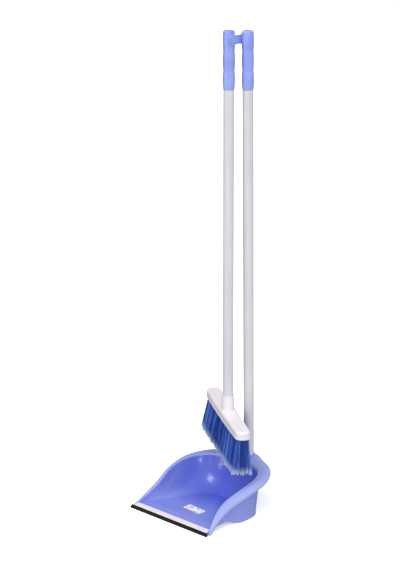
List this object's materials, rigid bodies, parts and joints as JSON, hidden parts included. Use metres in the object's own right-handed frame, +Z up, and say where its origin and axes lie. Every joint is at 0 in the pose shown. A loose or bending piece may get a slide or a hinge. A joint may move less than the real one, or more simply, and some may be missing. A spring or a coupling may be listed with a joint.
{
  "type": "long-handled dust pan and brush set",
  "caption": "Long-handled dust pan with a wiping lip and a footed handle, and a long-handled brush clipped beside it by a link between the two grips.",
  "frame": {"origin": "on the floor under the axis of the pan's handle, at the closed bottom of the handle's column", "axes": "+Z up along the pan's handle, -Y towards the pan's mouth, +X to the right of someone standing in front of the mouth"},
  "size_m": [0.2737, 0.3007, 1.0011],
  "materials": {
    "pan_plastic": "satin moulded",
    "lip_white": "satin moulded",
    "lip_rubber": "matte",
    "label": "satin printed film",
    "ferrule_plastic": "satin moulded",
    "tube_steel": "bare rolled steel",
    "tube_coat": "gloss film",
    "grip_plastic": "gloss moulded",
    "link_plastic": "gloss moulded",
    "head_plastic": "gloss moulded",
    "bristle_fibre": "flagged synthetic filament",
    "anchor_steel": "plain flat wire"
  },
  "bodies": {
    "pan": {"pan_body": "pan_plastic", "lip_strip": "lip_white", "lip_rubber": "lip_rubber", "floor_label": "label", "pan_ferrule": "pan_plastic", "pan_tube": "tube_steel", "pan_tube_coat": "tube_coat", "pan_grip": "grip_plastic"},
    "link": {"grip_link": "link_plastic"},
    "pin": {"link_pin": "link_plastic"},
    "brush": {"brush_grip": "grip_plastic", "brush_tube": "tube_steel", "brush_tube_coat": "tube_coat", "brush_ferrule": "ferrule_plastic", "head_cover": "head_plastic", "bristle_base": "head_plastic", "tuft_anchors": "anchor_steel", "bristle_row_1": "bristle_fibre", "bristle_row_2": "bristle_fibre", "bristle_row_3": "bristle_fibre", "bristle_row_4": "bristle_fibre", "bristle_row_5": "bristle_fibre"}
  },
  "joints": [
    {"name": "link_swivel", "type": "hinge", "parent": "pan", "child": "link", "pos_m": [-0.0106, 0, 0.982], "axis": [-1, 0, 0], "range_deg": [0, 90]},
    {"name": "brush_swing", "type": "hinge", "parent": "link", "child": "pin", "pos_m": [-0.0106, -0.0334, 0.982], "axis": [-1, 0, 0], "range_deg": [-1, 45]},
    {"name": "brush_release", "type": "slide", "parent": "pin", "child": "brush", "axis": [-1, 0, 0], "range_m": [0, 0.00035]}
  ]
}
